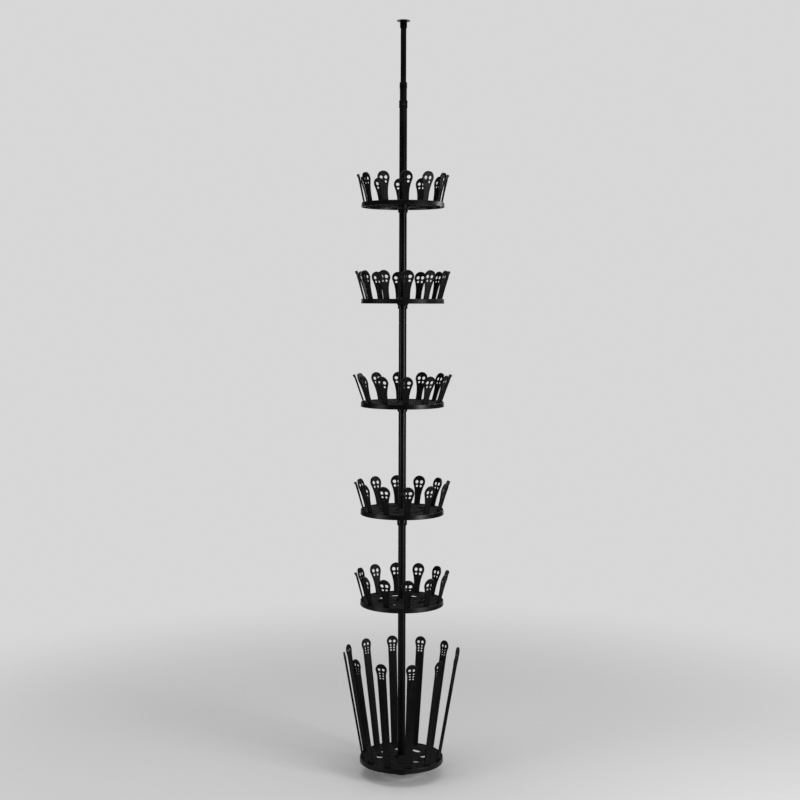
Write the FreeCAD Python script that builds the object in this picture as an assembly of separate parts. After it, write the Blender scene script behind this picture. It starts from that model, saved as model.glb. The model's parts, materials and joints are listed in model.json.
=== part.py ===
import FreeCAD, Part
import math
import os

os.makedirs("parts", exist_ok=True)

# A shoe tower that is clamped between floor and ceiling: a telescopic pole carries six trays,
# each tray turns on the pole by itself, and each holds a ring of twelve blades for shoes or boots.
# Millimetres, +Z up the pole. The origin is the centre of the floor pad's underside.

# ---- Clearances -------------------------------------------------------------------------------
snug_gap = 0.05            # radial gap of a fixed fit: a sleeve or plug on a tube
running_gap = 0.08         # radial gap where one piece turns or slides on another
turn_gap = 0.1             # height left between a turning piece and what it rests on
socket_gap = 0.2           # gap around a holder's tongue in its socket
telescope_gap = 0.25       # radial gap between the main tube and the telescope tube
top_tube_gap = 1.0         # radial gap between the telescope tube and the top tube

# ---- Pole -------------------------------------------------------------------------------------
tube_diameter = 25.0
tube_wall = 0.8
telescope_wall = 1.2
top_tube_wall = 1.2
tube_edge = 0.3            # rounding of the tube ends
tube_seat_height = 8.0     # the lower tube's end above the floor
lower_section_length = 730.0
middle_section_length = 722.0
upper_section_length = 706.5
telescope_clearance = 53.0 # from the upper joint plug up to the telescope tube inside the pole
telescope_exposed = 39.5   # bare telescope tube between the two collars
top_tube_exposed = 176.5   # bare top tube between the guide collar and the ceiling foot

joint_groove_height = 4.0  # the joint plug's band that shows between two tube sections
joint_groove_depth = 0.4
joint_spigot_length = 40.0
joint_plug_wall = 3.0

# ---- Lock collar and guide collar ---------------------------------------------------------------
collar_height = 23.5
collar_wall = 1.5
collar_waist_depth = 0.35
collar_flange_height = 4.5
collar_tube_overlap = 9.0
collar_lip = 1.6
collar_edge = 0.6
collar_groove_count = 24
collar_groove_radius = 0.5
grip_bush_wall = 1.5
grip_bush_taper = 0.5
grip_bush_split = 1.5
guide_collar_height = 20.0
guide_collar_overlap = 13.0
guide_collar_wall = 1.0    # at its lower, wider end
guide_collar_taper = 0.35

# ---- Spring in the top of the pole --------------------------------------------------------------
spring_length = 120.0
spring_wire = 1.8
spring_turns = 13
spring_side_gap = 0.8
spring_seat_height = 12.0
piston_length = 50.0
piston_spigot_length = 30.0
piston_wall = 3.0

# ---- Feet ---------------------------------------------------------------------------------------
floor_pad_radius = 18.0
floor_pad_thickness = 2.5
floor_pad_recess = 1.5     # how deep the pad sits in its foot
floor_foot_radius = 20.0
floor_foot_flange = 4.0
floor_foot_spigot = 55.0
floor_foot_cone = 2.0
ceiling_pad_radius = 20.5
ceiling_pad_thickness = 1.2
ceiling_pad_recess = 0.6
ceiling_foot_radius = 21.8
ceiling_foot_flange = 1.8
ceiling_sleeve_height = 22.6
ceiling_sleeve_wall = 2.45 # at the flange
ceiling_sleeve_taper = 0.35
foot_edge = 0.8
flange_edge = 0.4

# ---- Trays --------------------------------------------------------------------------------------
# Underside of each tray's rim above the floor, how far each tray stands turned at rest, and how far
# its pockets lean the holders outward.
tier_heights = [43.8, 551.2, 845.1, 1194.2, 1528.7, 1841.6]
tier_turns = [69.8, 37.5, 6.9, 4.7, 5.9, 3.9]
tier_leans = [10.3, 14.7, 15.9, 19.0, 14.9, 11.6]
holders_per_tier = 12
rim_radius = 135.6
rim_height = 15.5
rim_draft = 1.2            # the rim is narrower at the top by this much
rim_wall = 2.4
rim_edge = 1.6
rim_lower_edge = 1.0       # rounding of the rim's lower outer corner
floor_drop = 2.0           # the tray floor lies this far below the rim's top
floor_thickness = 2.8
spoke_count = 8
spoke_width = 3.0
rib_clearance = 2.0        # the ribs end this far above the rim's lower edge
window_radius = 71.0       # the curved openings in the tray floor
window_width = 18.5
window_length = 37.0
drain_radius = 42.0
drain_hole_radius = 4.5
hub_radius = 20.0
hub_wall = 3.4             # at the hub's lower end
hub_drop = 7.3             # the hub reaches this far below the rim
hub_boss_height = 6.0
hub_boss_taper = 5.0
hub_edge = 1.0

# ---- Stop rings ---------------------------------------------------------------------------------
ring_wall = 3.5
ring_height = 10.0
ring_chamfer = 1.6
deep_ring_height = 20.0    # a second, longer ring carries the third tray's ring
deep_ring_bulge = 0.4
screw_radius = 2.0
screw_length = 2.2
screw_socket_radius = 1.0
screw_socket_depth = 1.2
screw_gap = 0.05

# ---- Holders ------------------------------------------------------------------------------------
blade_thickness = 2.8
bead_height = 1.0          # the raised edge stands this far out of both faces
bead_width = 2.2
bead_edge = 0.7
blade_rib_width = 1.6
blade_rib_spacing = 10.0
holder_inset = 9.1         # from the rim's lower edge in to the blade's middle, at the rim's top
tongue_width = 15.0
tongue_depth = 8.4
socket_wall = 1.6

shoe_holder_length = 96.0  # along the blade, from the tray floor
shoe_head_radius = 21.0
shoe_neck_width = 20.0
shoe_base_width = 20.0
shoe_neck_curve = 140.0
shoe_rib_length = 46.0
shoe_hole_radius = 5.6
shoe_hole_offset = 8.2
shoe_small_hole_radius = 3.8
shoe_small_hole_offset = 6.8
shoe_row_drop = 14.0
shoe_rows = 1

boot_holder_length = 351.0
boot_head_radius = 18.6
boot_neck_width = 28.6
boot_base_width = 24.5
boot_neck_curve = 60.0
boot_rib_length = 240.0
boot_hole_radius = 4.5
boot_hole_offset = 7.1
boot_small_hole_radius = 2.8
boot_small_hole_offset = 6.0
boot_row_drop = 12.5
boot_rows = 3
boot_row_pitch = 8.3
boot_row_narrowing = 0.5   # each lower pair of holes stands this much closer to the middle

# ---- Sizes that follow --------------------------------------------------------------------------
tube_radius = tube_diameter / 2
tube_bore = tube_radius - tube_wall
telescope_radius = tube_bore - telescope_gap
telescope_bore = telescope_radius - telescope_wall
top_tube_radius = telescope_bore - top_tube_gap
top_tube_bore = top_tube_radius - top_tube_wall

lower_tube_top = tube_seat_height + lower_section_length
middle_tube_base = lower_tube_top + joint_groove_height
middle_tube_top = middle_tube_base + middle_section_length
upper_tube_base = middle_tube_top + joint_groove_height
upper_tube_top = upper_tube_base + upper_section_length
lock_collar_base = upper_tube_top - collar_tube_overlap
lock_collar_top = lock_collar_base + collar_height
guide_collar_base = lock_collar_top + telescope_exposed
guide_collar_top = guide_collar_base + guide_collar_height
telescope_top = guide_collar_base + guide_collar_overlap
telescope_base = upper_tube_base + joint_spigot_length + telescope_clearance
piston_top = telescope_top - turn_gap
piston_base = piston_top - piston_length
spring_base = piston_base - spring_length
ceiling_sleeve_base = guide_collar_top + top_tube_exposed
ceiling_flange_base = ceiling_sleeve_base + ceiling_sleeve_height
ceiling_flange_top = ceiling_flange_base + ceiling_foot_flange
total_height = ceiling_flange_top + ceiling_pad_thickness - ceiling_pad_recess

floor_top = rim_height - floor_drop
floor_underside = floor_top - floor_thickness
ring_radius = tube_radius + ring_wall
hub_bore = tube_radius + running_gap
holder_base_radius = rim_radius - holder_inset


# ---- Shared shapes ------------------------------------------------------------------------------
origin = FreeCAD.Vector(0, 0, 0)
up = FreeCAD.Vector(0, 0, 1)
across = FreeCAD.Vector(1, 0, 0)
same_place = 0.01          # heights this close count as equal


def flat_point(x, y):
    return FreeCAD.Vector(x, y, 0)


def profile_point(radius, height):
    return FreeCAD.Vector(radius, 0, height)


def rounded_wire(corners, point):
    """Closed outline through the corners (a, b, fillet radius); point() puts each in space."""
    spans = []
    edges = []
    for i, (a, b, radius) in enumerate(corners):
        corner = point(a, b)
        before = (point(*corners[i - 1][:2]) - corner).normalize()
        after = (point(*corners[(i + 1) % len(corners)][:2]) - corner).normalize()
        half_angle = before.getAngle(after) / 2
        trim = radius / math.tan(half_angle)
        spans.append((corner + before * trim, corner + after * trim))
        if radius > 0:
            inward = (before + after).normalize()
            middle = corner + inward * (radius / math.sin(half_angle) - radius)
            edges.append(Part.Arc(spans[i][0], middle, spans[i][1]).toShape())
    for i, (line_end, _) in enumerate(spans):
        line_start = spans[i - 1][1]
        if line_start != line_end:
            edges.append(Part.makeLine(line_start, line_end))
    return Part.Wire(Part.__sortEdges__(edges))


def turned(corners):
    """Solid of revolution about the pole's axis from a profile of (radius, height, fillet)."""
    return Part.Face(rounded_wire(corners, profile_point)).revolve(origin, up, 360)


def ring(inner, outer, base, top, edge=0.0):
    """Plain ring or tube, with its outer edges rounded."""
    corners = [(inner, base, 0), (outer, base, edge), (outer, top, edge), (inner, top, 0)]
    return turned(corners)


def around(shape, count, first=0.0):
    """The shape and its copies, evenly spaced about the pole's axis."""
    copies = []
    for i in range(count):
        copy = shape.copy()
        copy.rotate(origin, up, first + i * 360.0 / count)
        copies.append(copy)
    return copies


def save(name, shape):
    shape.exportStep("parts/" + name + ".step")


# ---- Pole ---------------------------------------------------------------------------------------
def tube(outer, wall, base, top):
    return ring(outer - wall, outer, base, top, min(tube_edge, wall / 3))


def joint_plug(lower_end):
    """Hollow plug inside two tube sections, with a band that shows as a groove between them."""
    spigot = tube_bore - snug_gap
    band = tube_radius - joint_groove_depth
    upper_end = lower_end + joint_groove_height
    bore = spigot - joint_plug_wall
    return turned([
        (bore, lower_end - joint_spigot_length, 0),
        (spigot, lower_end - joint_spigot_length, collar_edge),
        (spigot, lower_end, 0),
        (band, lower_end, 0),
        (band, upper_end, 0),
        (spigot, upper_end, 0),
        (spigot, upper_end + joint_spigot_length, collar_edge),
        (bore, upper_end + joint_spigot_length, 0),
    ])


def grip_bush():
    """Split taper bush on the main tube's end; the lock collar squeezes it onto the telescope."""
    bore = telescope_radius + snug_gap
    wide = bore + grip_bush_wall
    top = lock_collar_top - collar_lip - telescope_gap
    body = turned([
        (bore, upper_tube_top, 0),
        (wide, upper_tube_top, 0),
        (wide - grip_bush_taper, top, 0),
        (bore, top, 0),
    ])
    split = Part.makeBox(grip_bush_split, 2 * wide, collar_height)
    split.translate(FreeCAD.Vector(-grip_bush_split / 2, 0, upper_tube_top - turn_gap))
    return body.cut(split)


def lock_collar():
    """Twist collar around the bush: two flanges with a finely grooved waist between them."""
    outer = tube_radius + collar_wall
    waist = outer - collar_waist_depth
    bore = tube_radius + running_gap
    bush_wide = telescope_radius + snug_gap + grip_bush_wall + telescope_gap
    lip_bore = telescope_radius + telescope_gap
    lip_base = lock_collar_top - collar_lip
    waist_base = lock_collar_base + collar_flange_height
    waist_top = lock_collar_top - collar_flange_height
    body = turned([
        (bore, lock_collar_base, 0),
        (outer, lock_collar_base, collar_edge),
        (outer, waist_base, 0),
        (waist, waist_base + collar_waist_depth, 0),
        (waist, waist_top - collar_waist_depth, 0),
        (outer, waist_top, 0),
        (outer, lock_collar_top, collar_edge),
        (lip_bore, lock_collar_top, 0),
        (lip_bore, lip_base, 0),
        (bush_wide - grip_bush_taper, lip_base, 0),
        (bush_wide, upper_tube_top - turn_gap, 0),
        (bore, upper_tube_top - turn_gap, 0),
    ])
    groove_height = waist_top - waist_base - 2 * collar_waist_depth
    groove = Part.makeCylinder(collar_groove_radius, groove_height)
    groove.translate(FreeCAD.Vector(waist, 0, waist_base + collar_waist_depth))
    return body.cut(around(groove, collar_groove_count))


def guide_collar():
    """Cap on the telescope tube's end; the top tube slides through its narrower bore."""
    wide = telescope_radius + guide_collar_wall
    sleeve_bore = telescope_radius + snug_gap
    top_bore = top_tube_radius + running_gap
    return turned([
        (sleeve_bore, guide_collar_base, 0),
        (wide, guide_collar_base, collar_edge),
        (wide - guide_collar_taper, guide_collar_top, collar_edge),
        (top_bore, guide_collar_top, 0),
        (top_bore, telescope_top, 0),
        (sleeve_bore, telescope_top, 0),
    ])


def piston():
    """Plug in the top tube's lower end: it guides the tube and takes the spring's push."""
    body = telescope_bore - running_gap
    spigot = top_tube_bore - snug_gap
    bore = spigot - piston_wall
    return turned([
        (bore, piston_base, 0),
        (body, piston_base, collar_edge),
        (body, piston_top, 0),
        (spigot, piston_top, 0),
        (spigot, piston_top + piston_spigot_length, collar_edge),
        (bore, piston_top + piston_spigot_length, 0),
    ])


def spring_seat():
    """Disc fixed in the telescope tube below the spring."""
    radius = telescope_bore - snug_gap
    return ring(radius - piston_wall, radius, spring_base - spring_seat_height, spring_base, tube_edge)


def tension_spring():
    coil_radius = telescope_bore - spring_side_gap - spring_wire / 2
    rise = spring_length - spring_wire
    helix = Part.makeHelix(rise / spring_turns, rise, coil_radius)
    section = Part.makeCircle(spring_wire / 2, FreeCAD.Vector(coil_radius, 0, 0), FreeCAD.Vector(0, 1, 0))
    coil = Part.Wire(helix).makePipeShell([Part.Wire(section)], True, True)
    coil.translate(FreeCAD.Vector(0, 0, spring_base + spring_wire / 2))
    return coil


# ---- Feet ---------------------------------------------------------------------------------------
def floor_foot():
    """Moulded foot: a cup around the tube's end, a spigot inside it, and a recess for the pad."""
    sleeve_top = tier_heights[0] - hub_drop - turn_gap
    sleeve = tube_radius + hub_wall
    tube_outside = tube_radius + snug_gap
    spigot = tube_bore - snug_gap
    base = floor_pad_thickness - floor_pad_recess
    flange_top = base + floor_foot_flange
    return turned([
        (0, floor_pad_thickness, 0),
        (floor_pad_radius + snug_gap, floor_pad_thickness, 0),
        (floor_pad_radius + snug_gap, base, 0),
        (floor_foot_radius, base, foot_edge / 2),
        (floor_foot_radius, flange_top, foot_edge),
        (sleeve + floor_foot_cone, flange_top, 0),
        (sleeve, sleeve_top, 0),
        (tube_outside, sleeve_top, 0),
        (tube_outside, tube_seat_height, 0),
        (spigot, tube_seat_height, 0),
        (spigot, floor_foot_spigot, collar_edge),
        (0, floor_foot_spigot, 0),
    ])


def ceiling_foot():
    """Thin flange under the ceiling with a tapered sleeve on the top tube's end."""
    wide = top_tube_radius + ceiling_sleeve_wall
    bore = top_tube_radius + snug_gap
    recess_base = ceiling_flange_top - ceiling_pad_recess
    return turned([
        (bore, ceiling_sleeve_base, 0),
        (wide - ceiling_sleeve_taper, ceiling_sleeve_base, foot_edge),
        (wide, ceiling_flange_base, 0),
        (ceiling_foot_radius, ceiling_flange_base, flange_edge),
        (ceiling_foot_radius, ceiling_flange_top, flange_edge),
        (ceiling_pad_radius + snug_gap, ceiling_flange_top, 0),
        (ceiling_pad_radius + snug_gap, recess_base, 0),
        (0, recess_base, 0),
        (0, ceiling_flange_base, 0),
        (bore, ceiling_flange_base, 0),
    ])


# ---- Trays --------------------------------------------------------------------------------------
def window():
    """Curved opening with round ends, cut through the tray floor between two spokes."""
    half_turn = (window_length - window_width) / 2 / window_radius
    half_width = window_width / 2

    def at(radius, turn):
        return FreeCAD.Vector(radius * math.sin(turn), -radius * math.cos(turn), 0)

    inner = window_radius - half_width
    outer = window_radius + half_width
    cap_turn = half_turn + half_width / window_radius
    edges = [
        Part.Arc(at(outer, -half_turn), at(outer, 0), at(outer, half_turn)).toShape(),
        Part.Arc(at(outer, half_turn), at(window_radius, cap_turn), at(inner, half_turn)).toShape(),
        Part.Arc(at(inner, half_turn), at(inner, 0), at(inner, -half_turn)).toShape(),
        Part.Arc(at(inner, -half_turn), at(window_radius, -cap_turn), at(outer, -half_turn)).toShape(),
    ]
    return Part.Face(Part.Wire(edges)).extrude(up * rim_height)


def tray_shell():
    """Rim, floor and hub in one turned shape, standing on the rim's lower edge at height 0."""
    rim_top = rim_radius - rim_draft
    boss_top = floor_top + hub_boss_height
    hub_end = tube_radius + hub_wall
    return turned([
        (hub_bore, -hub_drop, 0),
        (hub_end, -hub_drop, hub_edge / 2),
        (hub_radius, 0, hub_edge),
        (hub_radius, floor_underside, hub_edge),
        (rim_top - rim_wall, floor_underside, hub_edge),
        (rim_radius - rim_wall, 0, 0),
        (rim_radius, 0, rim_lower_edge),
        (rim_top, rim_height, rim_edge),
        (rim_top - rim_wall, rim_height, hub_edge / 2),
        (rim_top - rim_wall, floor_top, 0),
        (hub_radius + hub_boss_taper / 2, floor_top, hub_edge),
        (hub_radius - hub_boss_taper / 2, boss_top, hub_edge),
        (hub_bore, boss_top, 0),
    ])


def spoke():
    """Rib under the tray floor, from the hub out to the rim."""
    length = rim_radius - rim_draft - rim_wall / 2 - hub_radius + hub_wall
    height = floor_underside - rib_clearance + hub_edge / 2
    rib = Part.makeBox(spoke_width, length, height)
    rib.translate(FreeCAD.Vector(-spoke_width / 2, -hub_radius + hub_wall - length, rib_clearance))
    return rib


def tongue(lean, gap):
    """The holder's tongue below the tray floor, or with a gap around it, its pocket."""
    width = tongue_width + 2 * gap
    thickness = blade_thickness + 2 * gap
    length = tongue_depth + gap
    block = Part.makeBox(width, thickness, length + floor_thickness)
    block.translate(FreeCAD.Vector(-width / 2, -thickness / 2, -length))
    block.rotate(origin, across, lean)
    return block


def stand_at_rim(shape, lean):
    """Move a shape from the axis out to where a holder with this lean meets the tray floor."""
    foot_radius = holder_base_radius - floor_drop * math.tan(math.radians(lean))
    shape.translate(FreeCAD.Vector(0, -foot_radius, floor_top))
    return shape


def socket(lean):
    """Block under the tray floor around one tongue, from which the pocket is cut."""
    reach = tongue_depth * math.sin(math.radians(lean))
    wall = blade_thickness / 2 + socket_gap + socket_wall
    width = tongue_width + 2 * (socket_gap + socket_wall)
    height = floor_underside - rib_clearance + socket_gap
    block = Part.makeBox(width, 2 * wall + reach, height)
    block.translate(FreeCAD.Vector(-width / 2, -wall, rib_clearance - floor_top))
    return stand_at_rim(block, lean)


def plain_tray():
    """Moulded tray with its hub, windows, drain holes and ribs, without the sockets."""
    between_spokes = 180.0 / spoke_count
    drain = Part.makeCylinder(drain_hole_radius, rim_height, FreeCAD.Vector(0, -drain_radius, 0))
    openings = around(window(), spoke_count, between_spokes) + around(drain, spoke_count, between_spokes)
    return tray_shell().fuse(around(spoke(), spoke_count)).cut(openings)


def tray(plain, lean):
    """The tray with a ring of sockets for holders with this lean."""
    pocket = stand_at_rim(tongue(lean, socket_gap), lean)
    body = plain.fuse(around(socket(lean), holders_per_tier))
    return body.cut(around(pocket, holders_per_tier)).removeSplitter()


# ---- Holders ------------------------------------------------------------------------------------
class Blade:
    """One kind of holder. Lengths run up the blade from the tray floor."""

    def __init__(self, length, head_radius, neck_width, base_width, neck_curve, rib_length, holes):
        self.head_radius = head_radius
        self.neck_width = neck_width
        self.base_width = base_width
        self.neck_curve = neck_curve
        self.rib_length = rib_length
        self.holes = holes
        self.head_height = length - head_radius

    def outline(self, inset, below):
        """Base, stem, hollow neck and round head, drawn inset from the edge."""
        head = self.head_radius - inset
        neck = self.neck_width / 2 - inset
        base = self.base_width / 2 - inset
        curve = self.neck_curve + inset
        drop = math.sqrt((head + curve) ** 2 - (neck + curve) ** 2)
        neck_height = self.head_height - drop
        share = head / (head + curve)
        cheek = ((neck + curve) * share, self.head_height - drop * share)
        mid_turn = (math.pi + math.atan2(drop, -(neck + curve))) / 2
        hollow = (
            neck + curve + curve * math.cos(mid_turn),
            neck_height + curve * math.sin(mid_turn),
        )
        right = [
            Part.makeLine(flat_point(base, -below), flat_point(neck, neck_height)),
            Part.Arc(flat_point(neck, neck_height), flat_point(*hollow), flat_point(*cheek)).toShape(),
        ]
        top = flat_point(0, self.head_height + head)
        crown = Part.Arc(flat_point(*cheek), top, flat_point(-cheek[0], cheek[1])).toShape()
        left = [edge.mirror(origin, across) for edge in reversed(right)]
        foot = Part.makeLine(flat_point(-base, -below), flat_point(base, -below))
        return Part.Face(Part.Wire(right + [crown] + left + [foot]))


def hole_pairs(blade):
    """Centre offset, height and radius of each pair of holes in the head."""
    radius, offset, small_radius, small_offset, first_drop, rows, pitch, narrowing = blade.holes
    pairs = [(offset, blade.head_height, radius)]
    for row in range(rows):
        height = blade.head_height - first_drop - row * pitch
        pairs.append((small_offset - row * narrowing, height, small_radius))
    return pairs


def flat_blade(blade):
    """The blade lying flat with its outer face up: plate, raised edge, two ribs and the holes."""
    half = blade_thickness / 2
    full = half + bead_height
    below = blade_thickness
    body = blade.outline(0, below).extrude(up * 2 * full)
    body.translate(up * -full)
    rims = [edge for edge in body.Edges if abs(abs(edge.CenterOfMass.z) - full) < same_place]
    sides = [edge for edge in rims if edge.CenterOfMass.y > -below + same_place]
    body = body.makeFillet(bead_edge, sides)
    outer_pocket = blade.outline(bead_width, 2 * below).extrude(up * full)
    outer_pocket.translate(up * half)
    inner_pocket = blade.outline(bead_width, 2 * below).extrude(up * -full)
    inner_pocket.translate(up * -half)
    body = body.cut([outer_pocket, inner_pocket])
    ribs = []
    for side in (-1, 1):
        rib = Part.makeBox(blade_rib_width, blade.rib_length + below, half + bead_height)
        middle = side * blade_rib_spacing / 2 - blade_rib_width / 2
        rib.translate(FreeCAD.Vector(middle, -below, 0))
        ribs.append(rib)
    body = body.fuse(ribs)
    holes = []
    for offset, height, radius in hole_pairs(blade):
        for side in (-1, 1):
            holes.append(Part.makeCylinder(radius, 2 * full, FreeCAD.Vector(side * offset, height, -full)))
    return body.cut(holes)


def holder(flat, lean):
    """A blade in its place: leaning outward, cut level on the tray floor, tongue in its socket."""
    body = flat.copy()
    body.rotate(origin, across, 90 + lean)
    width = body.BoundBox.XLength
    under_floor = Part.makeBox(width, width, width)
    under_floor.translate(FreeCAD.Vector(-width / 2, -width / 2, -width))
    body = body.cut(under_floor).fuse(tongue(lean, 0))
    return stand_at_rim(body, lean)


# ---- Stop rings ---------------------------------------------------------------------------------
def screw_hole(height):
    """Radial hole through a ring's far side, where the ring's grub screw sits."""
    hole = Part.makeCylinder(screw_radius + screw_gap, 2 * ring_radius, origin, FreeCAD.Vector(0, 1, 0))
    hole.translate(FreeCAD.Vector(0, 0, height))
    return hole


def grub_screw(height):
    """Short headless screw with a hexagon socket, its tip on the tube."""
    screw = Part.makeCylinder(screw_radius, screw_length, origin, FreeCAD.Vector(0, 1, 0))
    corners = []
    for i in range(7):
        turn = math.radians(60 * i)
        x = screw_socket_radius * math.cos(turn)
        z = screw_socket_radius * math.sin(turn)
        corners.append(FreeCAD.Vector(x, screw_length - screw_socket_depth, z))
    socket_cut = Part.Face(Part.makePolygon(corners)).extrude(FreeCAD.Vector(0, screw_length, 0))
    screw = screw.cut(socket_cut)
    screw.translate(FreeCAD.Vector(0, tube_radius, height))
    return screw


def stop_ring(top):
    """Ring clamped on the pole; the hub above turns on its flat top."""
    base = top - ring_height
    bore = tube_radius + snug_gap
    body = turned([
        (bore, base, 0),
        (ring_radius - ring_chamfer, base, 0),
        (ring_radius, base + ring_chamfer, ring_chamfer / 2),
        (ring_radius, top, foot_edge / 2),
        (bore, top, 0),
    ])
    return body.cut(screw_hole(top - ring_height / 2))


def deep_ring(top):
    """Longer ring with a barrel-shaped outside."""
    base = top - deep_ring_height
    bore = tube_radius + snug_gap
    edges = [
        Part.makeLine(profile_point(bore, top), profile_point(bore, base)),
        Part.makeLine(profile_point(bore, base), profile_point(ring_radius - foot_edge, base)),
        Part.Arc(
            profile_point(ring_radius - foot_edge, base),
            profile_point(ring_radius + deep_ring_bulge, (base + top) / 2),
            profile_point(ring_radius - foot_edge, top),
        ).toShape(),
        Part.makeLine(profile_point(ring_radius - foot_edge, top), profile_point(bore, top)),
    ]
    body = Part.Face(Part.Wire(edges)).revolve(origin, up, 360)
    return body.cut(screw_hole(top - deep_ring_height / 2))


# ---- The tower ----------------------------------------------------------------------------------
def build_pole():
    pad_top = total_height
    save("floor_pad", ring(0, floor_pad_radius, 0, floor_pad_thickness, tube_edge))
    save("floor_foot", floor_foot())
    save("lower_tube", tube(tube_radius, tube_wall, tube_seat_height, lower_tube_top))
    save("lower_joint_plug", joint_plug(lower_tube_top))
    save("middle_tube", tube(tube_radius, tube_wall, middle_tube_base, middle_tube_top))
    save("upper_joint_plug", joint_plug(middle_tube_top))
    save("upper_tube", tube(tube_radius, tube_wall, upper_tube_base, upper_tube_top))
    save("grip_bush", grip_bush())
    save("lock_collar", lock_collar())
    save("telescope_tube", tube(telescope_radius, telescope_wall, telescope_base, telescope_top))
    save("guide_collar", guide_collar())
    save("spring_seat", spring_seat())
    save("tension_spring", tension_spring())
    save("piston", piston())
    save("top_tube", tube(top_tube_radius, top_tube_wall, piston_top, ceiling_flange_base))
    save("ceiling_foot", ceiling_foot())
    save("ceiling_pad", ring(0, ceiling_pad_radius, pad_top - ceiling_pad_thickness, pad_top, tube_edge))


def build_stop_rings():
    """A ring under every hub but the lowest, which turns on the foot; the third has two."""
    screws = []
    for number, tier_height in enumerate(tier_heights[1:], start=2):
        top = tier_height - hub_drop - turn_gap
        save(f"tier_{number}_stop_ring", stop_ring(top))
        screws.append(grub_screw(top - ring_height / 2))
    deep_top = tier_heights[2] - hub_drop - turn_gap - ring_height
    save("tier_3_deep_ring", deep_ring(deep_top))
    screws.append(grub_screw(deep_top - deep_ring_height / 2))
    save("stop_ring_screws", Part.makeCompound(screws))


def build_tiers():
    shoe_holes = (
        shoe_hole_radius, shoe_hole_offset, shoe_small_hole_radius, shoe_small_hole_offset,
        shoe_row_drop, shoe_rows, 0.0, 0.0,
    )
    boot_holes = (
        boot_hole_radius, boot_hole_offset, boot_small_hole_radius, boot_small_hole_offset,
        boot_row_drop, boot_rows, boot_row_pitch, boot_row_narrowing,
    )
    shoe_blade = flat_blade(Blade(
        shoe_holder_length, shoe_head_radius, shoe_neck_width, shoe_base_width, shoe_neck_curve,
        shoe_rib_length, shoe_holes,
    ))
    boot_blade = flat_blade(Blade(
        boot_holder_length, boot_head_radius, boot_neck_width, boot_base_width, boot_neck_curve,
        boot_rib_length, boot_holes,
    ))
    plain = plain_tray()
    tiers = zip(tier_heights, tier_turns, tier_leans)
    for number, (tier_height, turn, lean) in enumerate(tiers, start=1):
        flat, kind = (boot_blade, "boot_holders") if number == 1 else (shoe_blade, "shoe_holders")
        tray_shape = tray(plain, lean)
        holders = Part.makeCompound(around(holder(flat, lean), holders_per_tier))
        for shape in (tray_shape, holders):
            shape.rotate(origin, up, turn)
            shape.translate(up * tier_height)
        save(f"tier_{number}_tray", tray_shape)
        save(f"tier_{number}_{kind}", holders)


build_pole()
build_stop_rings()
build_tiers()
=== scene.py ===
# %% [markdown]
# # A rotating shoe tower, dressed for its portrait
#
# The object is a black telescopic pole, clamped between floor and ceiling. Six round trays turn on it,
# and each tray carries a ring of twelve upright blades: tall ones for boots on the lowest tray, short
# ones for shoes on the others. Nearly everything is black, so the whole look rests on how each black
# takes the light: powder coat on the steel tubes, satin grain on the moulded trays and blades, a
# smoother gloss on the collars. The shapes are already built to size and come in as the frame.
# This lesson gives each of them its finish, adds the small marks that moulding leaves and the lips on
# the shoe blades, puts a copy of the hidden spring in its place, and sets up the floor, the lamps and
# the camera.

# %% Load the frame
import cmath
import json
import math
from collections import namedtuple

import bmesh
import bpy
from mathutils import Matrix, Vector

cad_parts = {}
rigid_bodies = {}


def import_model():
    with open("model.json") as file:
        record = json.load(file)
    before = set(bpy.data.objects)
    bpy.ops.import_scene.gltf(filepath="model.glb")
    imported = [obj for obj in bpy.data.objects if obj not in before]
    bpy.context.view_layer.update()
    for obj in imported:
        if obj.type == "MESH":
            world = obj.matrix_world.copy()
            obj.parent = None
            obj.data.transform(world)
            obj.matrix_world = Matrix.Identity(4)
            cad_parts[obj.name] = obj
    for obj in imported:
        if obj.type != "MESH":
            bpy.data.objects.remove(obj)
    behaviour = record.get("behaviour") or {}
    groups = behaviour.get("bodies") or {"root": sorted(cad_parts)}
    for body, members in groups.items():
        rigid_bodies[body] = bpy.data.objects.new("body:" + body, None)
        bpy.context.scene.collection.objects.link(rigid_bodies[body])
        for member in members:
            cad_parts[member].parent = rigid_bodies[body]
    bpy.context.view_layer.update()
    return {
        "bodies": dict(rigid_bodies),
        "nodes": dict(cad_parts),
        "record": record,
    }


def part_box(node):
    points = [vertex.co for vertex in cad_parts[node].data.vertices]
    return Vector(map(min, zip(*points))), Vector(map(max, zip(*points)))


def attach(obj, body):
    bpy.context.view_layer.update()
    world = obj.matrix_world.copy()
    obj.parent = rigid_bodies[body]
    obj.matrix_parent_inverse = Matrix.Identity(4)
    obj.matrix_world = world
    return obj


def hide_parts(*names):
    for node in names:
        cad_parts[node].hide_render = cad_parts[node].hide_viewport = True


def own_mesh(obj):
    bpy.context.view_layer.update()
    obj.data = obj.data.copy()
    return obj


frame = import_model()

nodes = frame["nodes"]

# %% [markdown]
# ## A finish is a small network
#
# Every finish below is made in the same few steps: a noise at a real size, a range that it is spread
# over, a colour that it blends, and a height that it bumps. A small class holds the network while it
# grows, so that each finish reads as a recipe and not as a tangle of sockets. The floor and the sky are
# networks too. A finish is one that starts with a shader, its output and two things that every recipe
# needs: the place on the piece, and the way that the surface faces.

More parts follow.
